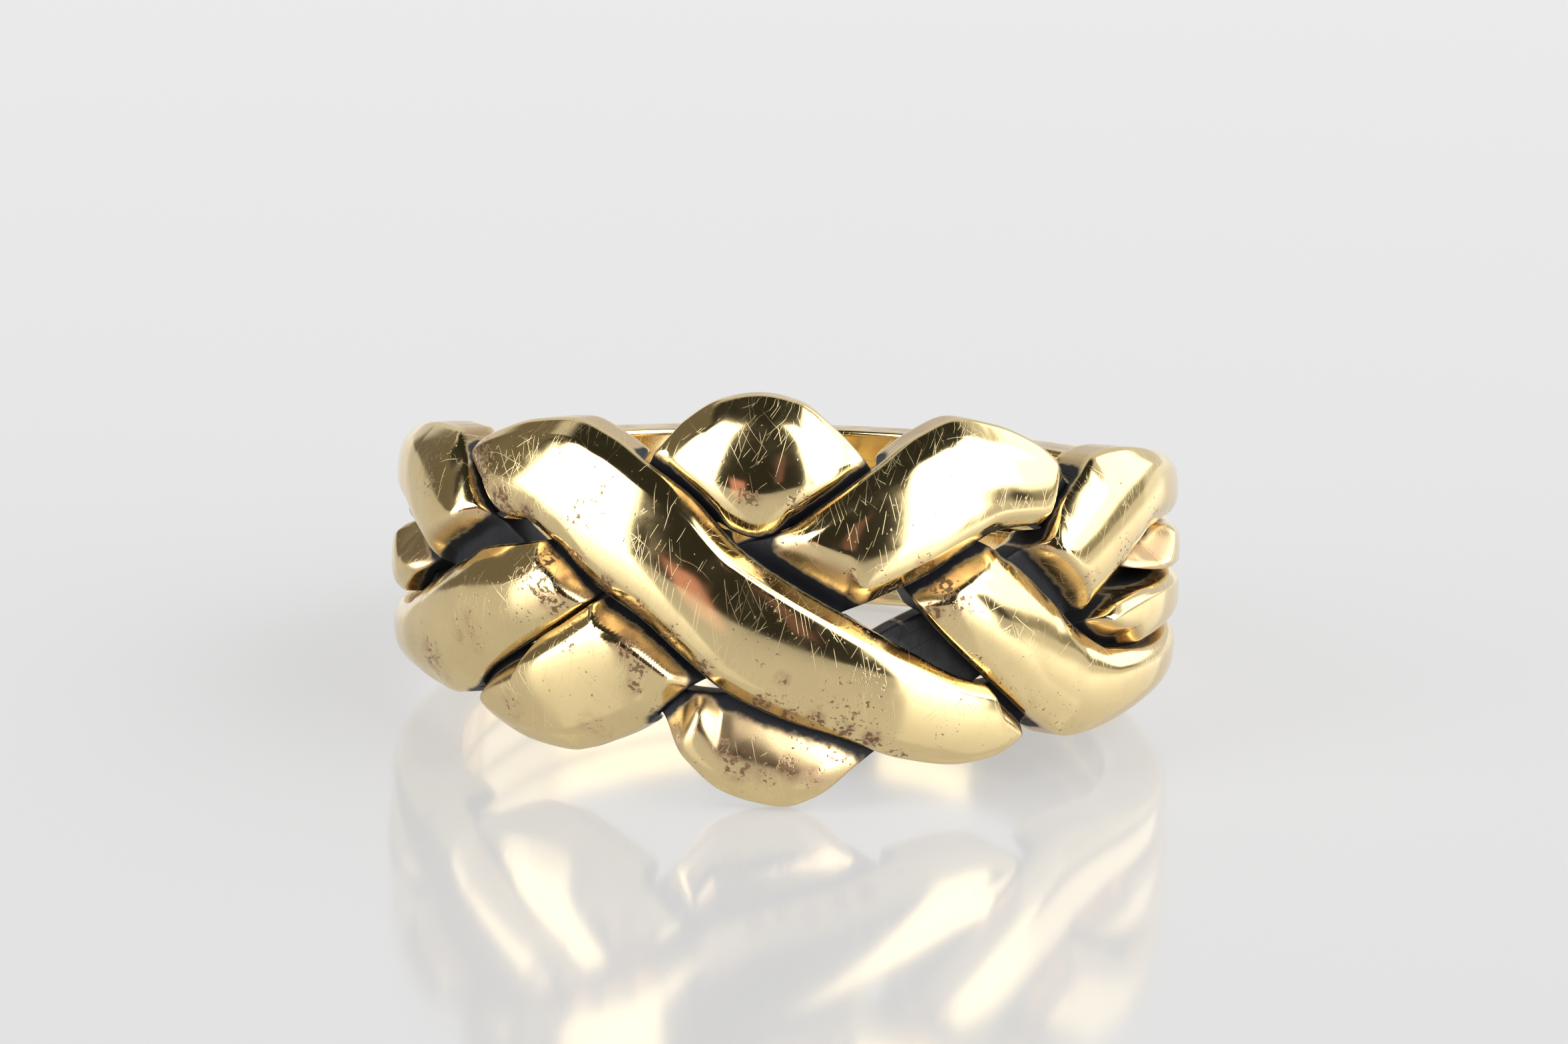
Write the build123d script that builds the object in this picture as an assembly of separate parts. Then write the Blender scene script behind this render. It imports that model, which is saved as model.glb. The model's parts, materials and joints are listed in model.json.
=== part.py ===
"""Four-band puzzle ring: four closed bands that weave over and under each other at the front
and lie side by side round the back of the finger.

Ring frame while the bands are worked out: the finger's axis is Z, the middle of the woven front
faces -Y, and angles are measured from there, positive towards +X.  Lengths are in millimetres.
The finished ring lies on its side as it does by itself: the front dome and the lower edge of the
back touch the ground, so the finger's axis leans back.  The origin is the middle of the ground
under the ring's box.
"""

import math
import os

import numpy as np
from build123d import *

# Driving sizes
FINGER_DIAMETER = 17.35
BACK_WALL = 1.50
WOVEN_WALL = 2.07
LOWER_LEVEL = 0.90
LEVEL_GAP = 0.15
LANE_WIDTH = 1.15
LANE_PITCH = 1.23
FINGER_CUT_LENGTH = 20.0

# The wall grows from the back's to the woven front's between these angles
BACK_ENDS_AT = 125.0
WEAVE_STARTS_AT = 65.0

# The woven front falls away above and below as a barrel does: its fall at a height over or under the
# middle, which goes on straight from there
BARREL_DROP = 0.45
BARREL_HEIGHT = 4.0

# Cross-section of a band
CROWN_RADIUS = 4.2
BEVEL_DROP = 0.42
FULL_BEVEL_HALF_WIDTH = 1.45

# Steps between the levels at a crossing
EDGE_CLEARANCE = 0.25
UNDERSIDE_CLEARANCE = 0.47
UNDERSIDE_RAMP = 0.40
BELOW_BORE = 0.20

# How the ring settles on the ground: the turn sideways, and the most that it may lean back
SETTLED_ROLL = 1.2
MOST_LEAN = 30.0
LEAN_HALVINGS = 40

# Facets, and the step in degrees over which a band's climb is measured
CLIMB_STEP = 0.5
FRONT_LIMIT = 100.0
FRONT_STEP = 2.0
BACK_STEP = 8.0
FACE_SHARES = (0.16, 0.33, 0.50, 0.67, 0.84)
INNER_SHARES = (1.0, 0.83, 0.66, 0.5, 0.33, 0.16, 0.0)

FINGER_RADIUS = FINGER_DIAMETER / 2
UPPER_LEVEL = LOWER_LEVEL + LEVEL_GAP
MM_PER_DEGREE = math.radians(1) * (FINGER_RADIUS + UPPER_LEVEL)

# Each band: the lane it takes round the back, counted up from the lowest, the widths of the bevels
# on its low and high edges, and its path over the front.
# Path columns: angle, height of the low edge, height of the high edge.
DIAGONAL = {
    "lane": 1,
    "bevels": (0.22, 0.38),
    "path": [
        (-90, -1.19, 0.10),
        (-80, -1.10, 0.55),
        (-72, -0.65, 1.20),
        (-66, -0.10, 1.75),
        (-60, 0.75, 2.40),
        (-52, 1.45, 3.25),
        (-45, 1.72, 3.92),
        (-38, 1.65, 4.30),
        (-31, 1.10, 4.42),
        (-24, 0.10, 4.05),
        (-17, -0.60, 3.38),
        (-10, -1.60, 2.65),
        (-3, -2.52, 1.48),
        (5, -3.10, 0.55),
        (14, -3.57, -0.35),
        (23, -4.10, -1.20),
        (32, -4.30, -2.00),
        (38, -4.15, -2.25),
        (44, -3.50, -2.10),
        (50, -2.85, -1.50),
        (56, -2.25, -0.80),
        (62, -1.80, -0.30),
        (70, -1.50, -0.10),
        (85, -1.25, -0.04),
    ],
}
ARCH = {
    "lane": 0,
    "bevels": (0.35, 0.35),
    "path": [
        (-90, -2.60, -1.32),
        (-78, -2.80, -1.40),
        (-70, -2.90, -1.15),
        (-64, -3.15, -0.55),
        (-58, -3.30, 0.00),
        (-52, -3.05, 0.45),
        (-46, -2.35, 0.85),
        (-38, -1.60, 1.08),
        (-31, -0.92, 1.35),
        (-25, -0.15, 1.95),
        (-20, 0.90, 2.85),
        (-16, 1.95, 3.80),
        (-12, 2.30, 4.56),
        (-6, 1.95, 5.16),
        (0, 1.78, 5.30),
        (6, 1.95, 5.13),
        (12, 2.35, 4.44),
        (16, 2.05, 3.75),
        (20, 1.20, 2.95),
        (25, -0.20, 2.35),
        (32, -1.40, 1.80),
        (40, -2.50, 1.05),
        (47, -3.35, 0.10),
        (54, -3.82, -0.90),
        (62, -3.65, -1.60),
        (74, -3.20, -1.75),
        (90, -2.80, -1.55),
    ],
}
CROSSING = {
    "lane": 2,
    "bevels": (0.55, 0.30),
    "path": [
        (-92, -0.10, 1.12),
        (-82, -0.60, 0.85),
        (-74, -1.20, 0.25),
        (-66, -1.80, -0.50),
        (-58, -2.45, -1.10),
        (-50, -3.05, -1.65),
        (-44, -3.72, -1.75),
        (-38, -4.15, -1.60),
        (-31, -4.30, -1.00),
        (-24, -3.97, -0.20),
        (-17, -3.42, 0.45),
        (-10, -2.35, 0.90),
        (-3, -1.75, 1.30),
        (4, -1.10, 1.82),
        (11, -0.50, 2.65),
        (18, 0.10, 3.50),
        (25, 0.60, 4.30),
        (32, 1.30, 4.70),
        (38, 1.80, 4.52),
        (44, 1.90, 4.10),
        (50, 1.65, 3.35),
        (57, 1.10, 2.60),
        (66, 0.50, 1.80),
        (78, 0.20, 1.40),
        (92, 0.05, 1.20),
    ],
}
CRADLE = {
    "lane": 3,
    "bevels": (0.30, 0.35),
    "path": [
        (-92, 1.42, 2.95),
        (-80, 1.35, 3.35),
        (-72, 1.15, 3.62),
        (-66, 0.55, 3.70),
        (-60, -0.05, 3.68),
        (-55, -0.50, 3.05),
        (-50, -0.90, 2.10),
        (-45, -1.15, 1.45),
        (-38, -1.20, 0.80),
        (-33, -1.40, 0.05),
        (-28, -1.75, -0.50),
        (-22, -2.35, -1.05),
        (-17, -2.70, -1.75),
        (-14, -3.15, -2.20),
        (-10, -4.20, -2.62),
        (-5, -5.00, -2.45),
        (0, -5.30, -2.25),
        (5, -5.42, -2.00),
        (10, -5.15, -1.70),
        (16, -4.35, -1.18),
        (21, -3.75, -0.70),
        (30, -2.85, -0.05),
        (36, -2.15, 0.55),
        (41, -1.70, 1.00),
        (46, -1.35, 1.45),
        (50, -1.05, 2.30),
        (55, -0.55, 2.98),
        (60, -0.05, 3.52),
        (66, 0.65, 3.62),
        (73, 1.35, 3.52),
        (82, 1.50, 3.25),
        (95, 1.40, 2.80),
    ],
}
BANDS = {
    "long_diagonal_band": DIAGONAL,
    "arch_band": ARCH,
    "crossing_band": CROSSING,
    "cradle_band": CRADLE,
}

# The bands are back in their lanes beyond this angle
LANES_FROM = 110.0

# Crossings: upper band, lower band, first and last angle at which their outlines overlap, and the
# length of the lower band's slope down below and above the upper band
CROSSINGS = [
    (DIAGONAL, CROSSING, -101.8, -68.0, 0.90, 0.90),
    (CRADLE, DIAGONAL, -72.5, -46.0, 1.10, 1.10),
    (ARCH, CROSSING, -73.0, -37.5, 0.60, 0.60),
    (ARCH, CRADLE, -59.2, -27.8, 0.70, 0.70),
    (DIAGONAL, ARCH, -32.8, -5.6, 0.60, 1.40),
    (CROSSING, CRADLE, -34.2, -10.5, 1.00, 0.60),
    (DIAGONAL, CROSSING, -22.5, 13.5, 0.60, 1.20),
    (DIAGONAL, CRADLE, -4.7, 35.6, 1.60, 0.70),
    (CROSSING, ARCH, 4.7, 34.8, 0.60, 1.40),
    (ARCH, CRADLE, 25.7, 53.0, 0.70, 0.70),
    (ARCH, DIAGONAL, 38.0, 65.5, 0.50, 0.50),
    (CRADLE, CROSSING, 47.8, 77.0, 1.10, 1.10),
]


def whole_path(band):
    """The band's path with its lane at the back added at both ends."""
    low = (band["lane"] - 1.5) * LANE_PITCH - LANE_WIDTH / 2
    lane = (low, low + LANE_WIDTH)
    ends = [-180.0, -LANES_FROM], [LANES_FROM, 180.0]
    before = [(angle, *lane) for angle in ends[0]]
    after = [(angle, *lane) for angle in ends[1]]
    return np.array(before + band["path"] + after, dtype=float)


def smooth_through(knots, values, at):
    """A cubic through each value, flat where the values turn, so that it never overshoots."""
    steps = np.diff(knots)
    rises = np.diff(values) / steps
    before, after = rises[:-1], rises[1:]
    same_way = before * after > 0
    slopes = np.zeros(len(knots))
    sums = np.where(same_way, before + after, 1.0)
    slopes[1:-1] = np.where(same_way, 2 * before * after / sums, 0.0)
    left = np.clip(np.searchsorted(knots, at) - 1, 0, len(steps) - 1)
    share = (at - knots[left]) / steps[left]
    return (
        values[left] * (1 + 2 * share) * (1 - share) ** 2
        + slopes[left] * steps[left] * share * (1 - share) ** 2
        + values[left + 1] * share**2 * (3 - 2 * share)
        + slopes[left + 1] * steps[left] * share**2 * (share - 1)
    )


def outline(band, angle):
    """Heights of the band's low and high edges at each angle."""
    path = whole_path(band)
    low = smooth_through(path[:, 0], path[:, 1], angle)
    high = smooth_through(path[:, 0], path[:, 2], angle)
    return low, high


def squareness(band, angle):
    """Cosine of the band's climb: turns a height into a distance square to the band."""
    before = sum(outline(band, np.maximum(angle - CLIMB_STEP, -180.0))) / 2
    after = sum(outline(band, np.minimum(angle + CLIMB_STEP, 180.0))) / 2
    climb = (after - before) / (2 * CLIMB_STEP * MM_PER_DEGREE)
    return 1 / np.sqrt(1 + climb**2)


def weave_share(angle):
    """1 over the woven front, 0 round the back and smooth between them."""
    share = np.clip((BACK_ENDS_AT - np.abs(angle)) / (BACK_ENDS_AT - WEAVE_STARTS_AT), 0.0, 1.0)
    return share**2 * (3 - 2 * share)


def wall(angle):
    """Thickness of the whole wall at each angle, from the back's to the woven front's."""
    return BACK_WALL + (WOVEN_WALL - BACK_WALL) * weave_share(angle)


def barrel(angle, height):
    """Share of the full thickness that the barrel leaves at each place."""
    share = np.abs(height) / BARREL_HEIGHT
    fall = np.where(share < 1, share**2, 2 * share - 1) * weave_share(angle)
    return 1 - BARREL_DROP / WOVEN_WALL * fall


def bevel_widths(band, half_width):
    """Widths of the low and high bevels, smaller where the band is narrow."""
    scale = np.minimum(half_width / FULL_BEVEL_HALF_WIDTH, 1.0)
    return band["bevels"][0] * scale, band["bevels"][1] * scale, BEVEL_DROP * scale


def crowned_top(band, angle, height):
    """Height over the bore of the domed, bevelled face that the band has where nothing covers it."""
    low, high = outline(band, angle)
    square = squareness(band, angle)
    half_width = (high - low) / 2 * square
    across = (height - (high + low) / 2) * square
    low_bevel, high_bevel, drop = bevel_widths(band, half_width)
    low_part = np.clip((low_bevel - half_width - across) / low_bevel, 0.0, 1.0)
    high_part = np.clip((high_bevel - half_width + across) / high_bevel, 0.0, 1.0)
    return wall(angle) - across**2 / (2 * CROWN_RADIUS) - drop * (low_part + high_part)


def distance_outside(other, first, last, angle, height):
    """Distance from the stretch of the other band between two angles, and which side it is on."""
    low, high = outline(other, angle)
    square = squareness(other, angle)
    below = np.maximum(low - height, 0.0) * square
    above = np.maximum(height - high, 0.0) * square
    along = np.maximum(np.maximum(first - angle, angle - last), 0.0) * MM_PER_DEGREE
    return below + above + along, above > below


def outer_and_inner(band, angle, height):
    """Heights over the bore of the band's outer and inner faces at points of its outline."""
    top = crowned_top(band, angle, height)
    outer = top.copy()
    inner = np.full_like(top, -BELOW_BORE)
    for upper, lower, first, last, ramp_below, ramp_above in CROSSINGS:
        if lower is band:
            distance, is_above = distance_outside(upper, first, last, angle, height)
            ramp = np.where(is_above, ramp_above, ramp_below)
            share = np.clip((distance - EDGE_CLEARANCE) / ramp, 0.0, 1.0)
            outer = np.minimum(outer, LOWER_LEVEL + (top - LOWER_LEVEL) * share)
        if upper is band:
            distance, _ = distance_outside(lower, first, last, angle, height)
            share = np.clip((distance - UNDERSIDE_CLEARANCE) / UNDERSIDE_RAMP, 0.0, 1.0)
            inner = np.maximum(inner, UPPER_LEVEL - (UPPER_LEVEL + BELOW_BORE) * share)
    swell = barrel(angle, height)
    return outer * swell, inner * swell


def section_angles():
    """Angles of the sections, close over the woven front and wider round the back."""
    front = np.arange(-FRONT_LIMIT, FRONT_LIMIT + FRONT_STEP / 2, FRONT_STEP)
    back = np.arange(FRONT_LIMIT + BACK_STEP, 360 - FRONT_LIMIT, BACK_STEP)
    back = np.where(back > 180, back - 360, back)
    return np.concatenate([front, back])


def band_points(band):
    """Grid of points in the ring frame: one row for each section, one column round the section."""
    angle = section_angles()
    low, high = outline(band, angle)
    width = high - low
    square = squareness(band, angle)
    low_bevel, high_bevel, _ = bevel_widths(band, width / 2 * square)
    face_start = low_bevel / (width * square)
    face_end = 1 - high_bevel / (width * square)
    shares = [0 * width, face_start]
    shares += [face_start + share * (face_end - face_start) for share in FACE_SHARES]
    shares += [face_end, 1 + 0 * width]
    columns = [(share, True) for share in shares]
    columns += [(share + 0 * width, False) for share in INNER_SHARES]
    rows = []
    for share, is_outer in columns:
        height = low + share * width
        outer, inner = outer_and_inner(band, angle, height)
        radius = FINGER_RADIUS + (outer if is_outer else inner)
        turn = np.radians(angle)
        rows.append(np.stack([radius * np.sin(turn), -radius * np.cos(turn), height], axis=-1))
    return np.stack(rows, axis=1)


def faceted_solid(points):
    """Closed solid of triangles over a grid that joins up in both directions."""
    sections, columns, _ = points.shape
    corners = [[Vector(*points[i, j]) for j in range(columns)] for i in range(sections)]
    faces = []
    for i in range(sections):
        after = (i + 1) % sections
        for j in range(columns):
            side = (j + 1) % columns
            a, b = corners[i][j], corners[after][j]
            c, d = corners[after][side], corners[i][side]
            faces.append(Face(Wire.make_polygon([a, b, c])))
            faces.append(Face(Wire.make_polygon([a, c, d])))
    return Solid(Shell(faces))


def turned(points, lean, roll):
    """Points of the ring frame turned sideways about Y and then back about X, in degrees."""
    x, y, z = points[..., 0], points[..., 1], points[..., 2]
    cos_roll, sin_roll = math.cos(math.radians(roll)), math.sin(math.radians(roll))
    x, z = x * cos_roll + z * sin_roll, z * cos_roll - x * sin_roll
    cos_lean, sin_lean = math.cos(math.radians(lean)), math.sin(math.radians(lean))
    y, z = y * cos_lean - z * sin_lean, y * sin_lean + z * cos_lean
    return np.stack([x, y, z], axis=-1)


def settled_lean(points):
    """Lean at which the front and the back of the ring touch the same level ground."""
    upright, flat = 0.0, -MOST_LEAN
    for _ in range(LEAN_HALVINGS):
        lean = (upright + flat) / 2
        settled = turned(points, lean, -SETTLED_ROLL)
        front = settled[settled[:, 1] < 0, 2].min()
        back = settled[settled[:, 1] > 0, 2].min()
        if front < back:
            upright = lean
        else:
            flat = lean
    return lean


def main():
    grids = {name: band_points(band) for name, band in BANDS.items()}
    everything = np.concatenate([grid.reshape(-1, 3) for grid in grids.values()])
    lean = settled_lean(everything)
    settled = turned(everything, lean, -SETTLED_ROLL)
    low_corner, high_corner = settled.min(axis=0), settled.max(axis=0)
    middle = (low_corner + high_corner) / 2
    print("lean", round(lean, 2), "box", np.round(high_corner - low_corner, 2))

    place = Pos(-middle[0], -middle[1], -low_corner[2]) * Rot(lean, 0, 0) * Rot(0, -SETTLED_ROLL, 0)
    finger = Cylinder(FINGER_RADIUS, FINGER_CUT_LENGTH)
    os.makedirs("parts", exist_ok=True)
    for name, grid in grids.items():
        band = faceted_solid(grid) - finger
        export_step(place * band, f"parts/{name}.step")
        print(name, round(band.volume, 1), "mm3", len(band.faces()), "faces")


main()
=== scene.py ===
"""A four-band puzzle ring in worn pale gold, lying on a glossy pale table.

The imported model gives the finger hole's place, axis and radius.  Every band is worked out here again
on a fine grid in the ring's own frame, where the finger's axis is Z and the middle of the woven front
faces -Y, and is then turned into the place of the node that it stands for.
"""

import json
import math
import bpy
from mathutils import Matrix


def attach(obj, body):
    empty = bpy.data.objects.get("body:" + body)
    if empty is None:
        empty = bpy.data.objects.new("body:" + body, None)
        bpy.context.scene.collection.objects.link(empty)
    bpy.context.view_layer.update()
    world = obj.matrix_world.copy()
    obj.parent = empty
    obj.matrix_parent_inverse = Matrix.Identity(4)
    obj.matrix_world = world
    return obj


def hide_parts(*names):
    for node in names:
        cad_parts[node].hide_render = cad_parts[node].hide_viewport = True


bl_info = {
    "name": "Puzzle Ring",
    "version": (1, 0, 0),
    "blender": (4, 5, 0),
    "location": "View3D > Sidebar > Puzzle Ring",
    "description": "Makes the woven bands of a puzzle ring, their worn gold and a pale studio",
    "category": "Add Mesh",
}

import bpy
import numpy as np
from bpy.props import FloatProperty, FloatVectorProperty, PointerProperty
from mathutils import Matrix, Vector

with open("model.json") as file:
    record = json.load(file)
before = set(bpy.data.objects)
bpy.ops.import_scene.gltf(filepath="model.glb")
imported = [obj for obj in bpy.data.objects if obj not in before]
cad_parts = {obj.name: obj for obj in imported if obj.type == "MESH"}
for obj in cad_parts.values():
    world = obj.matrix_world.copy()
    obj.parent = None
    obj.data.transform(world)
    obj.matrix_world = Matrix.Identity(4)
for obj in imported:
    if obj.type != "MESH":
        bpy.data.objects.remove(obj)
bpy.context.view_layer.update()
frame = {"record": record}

MM = 0.001
PHOTO_WIDTH = 2355
PHOTO_HEIGHT = 1568

# The finger hole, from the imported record
BORE = frame["record"]["mounts"][0]
BORE_RADIUS = BORE["dims"]["r_mm"] * MM
BORE_MIDDLE = Vector(BORE["pos_m"])
BORE_AXIS = Vector(BORE["axis"]).normalized()

# Each band: its node, the lane it takes round the back, counted up from the lowest, the widths of the
# bevels on its low and high edges, how soft their ridges are, and its path over the front.
# Path columns: angle in degrees, heights of the low and the high edge in millimetres.
DIAGONAL = {
    "node": "long_diagonal_band",
    "lane": 1,
    "bevels": (0.45, 0.40),
    "ridges": (0.60, 0.10),
    "path": [
        (-90, -1.19, 0.10),
        (-80, -1.10, 0.55),
        (-72, -0.65, 1.20),
        (-66, -0.10, 1.75),
        (-60, 0.75, 2.40),
        (-52, 1.45, 3.25),
        (-45, 1.72, 3.92),
        (-38, 1.65, 4.30),
        (-31, 1.00, 4.42),
        (-24, 0.02, 4.05),
        (-17, -0.68, 3.38),
        (-10, -1.66, 2.65),
        (-3, -2.52, 1.48),
        (5, -3.10, 0.55),
        (14, -3.57, -0.35),
        (23, -4.10, -1.20),
        (32, -4.30, -2.00),
        (38, -4.15, -2.25),
        (44, -3.50, -2.10),
        (50, -2.85, -1.50),
        (56, -2.25, -0.80),
        (62, -1.80, -0.30),
        (70, -1.50, -0.10),
        (85, -1.25, -0.04),
    ],
}
ARCH = {
    "node": "arch_band",
    "lane": 0,
    "bevels": (0.60, 0.60),
    "ridges": (0.60, 0.45),
    "path": [
        (-90, -2.60, -1.32),
        (-78, -2.80, -1.40),
        (-70, -2.90, -1.15),
        (-64, -3.15, -0.55),
        (-58, -3.30, 0.00),
        (-52, -3.05, 0.45),
        (-46, -2.35, 0.85),
        (-38, -1.60, 1.08),
        (-31, -0.92, 1.35),
        (-25, -0.15, 1.95),
        (-20, 0.90, 2.85),
        (-16, 1.95, 3.80),
        (-12, 2.30, 4.56),
        (-6, 1.95, 5.16),
        (0, 1.62, 5.30),
        (6, 1.95, 5.13),
        (12, 2.35, 4.44),
        (16, 2.05, 3.75),
        (20, 1.20, 2.95),
        (25, -0.20, 2.35),
        (32, -1.40, 1.80),
        (40, -2.50, 1.05),
        (47, -3.35, 0.10),
        (54, -3.82, -0.90),
        (62, -3.65, -1.60),
        (74, -3.20, -1.75),
        (90, -2.80, -1.55),
    ],
}
CROSSING = {
    "node": "crossing_band",
    "lane": 2,
    "bevels": (0.50, 0.45),
    "ridges": (0.12, 0.45),
    "path": [
        (-92, -0.10, 1.12),
        (-82, -0.60, 0.85),
        (-74, -1.20, 0.25),
        (-66, -1.80, -0.50),
        (-58, -2.45, -1.10),
        (-50, -3.05, -1.65),
        (-44, -3.72, -1.75),
        (-38, -4.15, -1.60),
        (-31, -4.30, -1.00),
        (-24, -3.97, -0.20),
        (-17, -3.42, 0.45),
        (-10, -2.35, 0.90),
        (-3, -1.75, 1.42),
        (4, -1.10, 1.82),
        (11, -0.50, 2.65),
        (18, 0.10, 3.50),
        (25, 0.60, 4.30),
        (32, 1.30, 4.70),
        (38, 1.80, 4.52),
        (44, 1.90, 4.10),
        (50, 1.65, 3.35),
        (57, 1.10, 2.60),
        (66, 0.50, 1.80),
        (78, 0.20, 1.40),
        (92, 0.05, 1.20),
    ],
}
CRADLE = {
    "node": "cradle_band",
    "lane": 3,
    "bevels": (0.55, 0.50),
    "ridges": (0.60, 0.45),
    "path": [
        (-92, 1.42, 2.95),
        (-80, 1.35, 3.35),
        (-72, 1.15, 3.62),
        (-66, 0.55, 3.70),
        (-60, -0.05, 3.68),
        (-55, -0.50, 3.05),
        (-50, -0.90, 2.10),
        (-45, -1.15, 1.45),
        (-38, -1.20, 0.80),
        (-33, -1.40, 0.05),
        (-28, -1.75, -0.50),
        (-22, -2.35, -1.05),
        (-17, -2.70, -1.75),
        (-14, -3.15, -2.08),
        (-10, -4.20, -2.42),
        (-5, -5.00, -2.45),
        (0, -5.30, -2.25),
        (5, -5.42, -2.00),
        (10, -5.15, -1.70),
        (16, -4.35, -1.18),
        (21, -3.75, -0.70),
        (30, -2.85, -0.05),
        (36, -2.15, 0.55),
        (41, -1.70, 1.00),
        (46, -1.35, 1.45),
        (50, -1.05, 2.30),
        (55, -0.55, 2.98),
        (60, -0.05, 3.52),
        (66, 0.65, 3.62),
        (73, 1.35, 3.52),
        (82, 1.50, 3.25),
        (95, 1.40, 2.80),
    ],
}
BANDS = [DIAGONAL, ARCH, CROSSING, CRADLE]

# The top of the arch is a round dome: it falls by this much up to the first angle on each side, and the
# fall ends by the second, where other bands cover it
ARCH_DOME_FALL = 0.70 * MM
ARCH_DOME_ANGLES = (14.0, 24.0)

# Faces that lean: angle in degrees, and how much further out the face is for each millimetre across
# the band, counted upwards
LEANS = {
    "long_diagonal_band": [(-180, 0.0), (180, 0.0)],
    "arch_band": [(-180, 0.0), (22, 0.0), (31, -0.10), (50, -0.10), (70, 0.0), (180, 0.0)],
    "crossing_band": [(-180, 0.0), (-70, 0.0), (-48, 0.16), (-18, 0.20), (-4, 0.0), (180, 0.0)],
    "cradle_band": [(-180, 0.0), (-16, 0.0), (-8, 0.08), (12, 0.08), (22, 0.0), (180, 0.0)],
}

# The bands are back in their lanes beyond this angle, in degrees
LANES_FROM = 110.0

# Crossings: upper band, lower band, first and last angle at which their outlines overlap, in degrees;
# the lengths in millimetres of the lower band's flat and of its slope, below and above the upper band;
# and how soft the slope's ends are
CROSSINGS = [
    (DIAGONAL, CROSSING, -101.8, -68.0, (0.06, 0.90), (0.06, 0.90), 0.30),
    (CRADLE, DIAGONAL, -72.5, -46.0, (0.12, 1.00), (0.12, 1.00), 0.30),
    (ARCH, CROSSING, -73.0, -37.5, (0.10, 0.60), (0.10, 0.60), 0.30),
    (ARCH, CRADLE, -59.2, -27.8, (0.06, 0.60), (0.50, 0.45), 0.20),
    (DIAGONAL, ARCH, -32.8, -5.6, (0.03, 0.50), (0.03, 0.36), 0.20),
    (CROSSING, CRADLE, -34.2, -10.5, (0.10, 1.20), (0.50, 0.45), 0.30),
    (DIAGONAL, CROSSING, -22.5, 13.5, (0.03, 0.50), (0.08, 1.20), 0.12),
    (DIAGONAL, CRADLE, -4.7, 35.6, (0.06, 1.20), (0.60, 0.40), 0.25),
    (CROSSING, ARCH, 4.7, 34.8, (0.05, 0.55), (0.03, 0.36), 0.20),
    (ARCH, CRADLE, 25.7, 53.0, (0.60, 0.40), (0.50, 0.45), 0.15),
    (ARCH, DIAGONAL, 38.0, 65.5, (0.15, 0.45), (0.15, 0.45), 0.20),
    (CRADLE, CROSSING, 47.8, 77.0, (0.45, 0.75), (0.10, 1.10), 0.15),
]

# Grid of a band: steps in degrees, and points across each part of the section
FRONT_LIMIT = 102.0
FRONT_STEP = 0.35
BACK_STEP = 2.0
CLIMB_STEP = 0.5
ROUND_POINTS = 6
BEVEL_POINTS = 5
FACE_POINTS = 26
FLANK_POINTS = 6
INNER_POINTS = 12

# Height over the ring's middle plane at which the barrel's fall is given; past it the fall is straight
BARREL_HEIGHT = 4.0 * MM

# Where the recesses darken with blue-black oxide and painted shade: distance from the nearest band, depth
# under the open face, height of a hollow over the bore, in metres; and where a slope starts to take its
# redder gold with painted shade, as shares of its fall
CROWDED_WITHIN = (0.25 * MM, 0.80 * MM)
OXIDE_AND_SHADE_DEPTHS = (0.50 * MM, 1.05 * MM)
HOLLOW_HEIGHTS = (0.20 * MM, 0.60 * MM)
SLOPE_SHARES = (0.03, 0.15)

# Where grime gathers: angles over which it fades out, in degrees, and its amount at a low edge and
# beside another band
WOVEN_WITHIN = (85.0, 110.0)
GRIME_LOW = 0.8
GRIME_CROWDED = 0.7

# Patterns of the gold: scales are repeats in a metre, and levels are the values of a noise or a distance
# between which a pattern grows from 0 to 1
SCRATCH_PATCHES = 420.0
SCRATCH_PATCH_LEVELS = (0.35, 0.65)
SCRATCH_LEAST = 0.25
SCRATCH_LENGTH = (0.20, 0.42)
SCRATCH_HALF_WIDTH = (0.015, 0.05)
SCRATCH_FAINTEST = 0.35
SPECK_SCALE = 8000.0
SPECK_PATCHES = 550.0
SPECK_PATCH_LEVELS = (0.44, 0.68)
SPECK_LEVELS = (0.69, 0.80)
SPECKS_IN_GRIME = 0.16
SPECKS_IN_STAINS = 0.26
FILM_SCALE = 2600.0
FILM_LEVELS = (0.42, 0.62)
# Blue-black oxide and painted shade of the recesses: the noise that breaks up its edge, and its levels
OXIDE_AND_SHADE_BREAK_SCALE = 3500.0
OXIDE_AND_SHADE_BREAK = 0.5
OXIDE_AND_SHADE_LEVELS = (0.40, 0.80)
TINT_SCALE = 700.0
TINT_LEVELS = (0.35, 0.75)
SMUDGE_SCALE = 1400.0
SMUDGE_LEVELS = (0.40, 0.75)
LUMP_SCALE = 650.0
GRAIN_SCALE = 9000.0
GRAIN_HEIGHT = 0.0003 * MM

# Shares of a colour: at least and added by a pattern for the slopes' redder gold with its painted shade
# and for the film, and whole for the slow tint, the scratches and the pits
FLANK_SHADE_SHARES = (0.55, 0.40)
FILM_SHARES = (0.15, 0.65)
TINT_SHARE = 0.18
SCRATCH_SHARE = 0.35
PIT_SHARE = 0.85

# How much less like metal pits and the oxide with its painted shade are, and the roughness that dull
# places and slopes add
PIT_DULLNESS = 0.6
OXIDE_AND_SHADE_DULLNESS = 0.9
DULL_ROUGHNESS = 0.35
FLANK_ROUGHNESS = 0.24

# Layers of scratches: direction against the band's own, in degrees, spacing along and across the
# scratch in millimetres, and weight
SCRATCH_LAYERS = [
    (105.0, 1.60, 0.17, 1.0),
    (78.0, 1.10, 0.14, 0.9),
    (52.0, 1.40, 0.20, 0.6),
    (140.0, 1.00, 0.16, 0.6),
    (8.0, 2.20, 0.24, 0.4),
    (121.0, 0.70, 0.11, 0.8),
]

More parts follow.
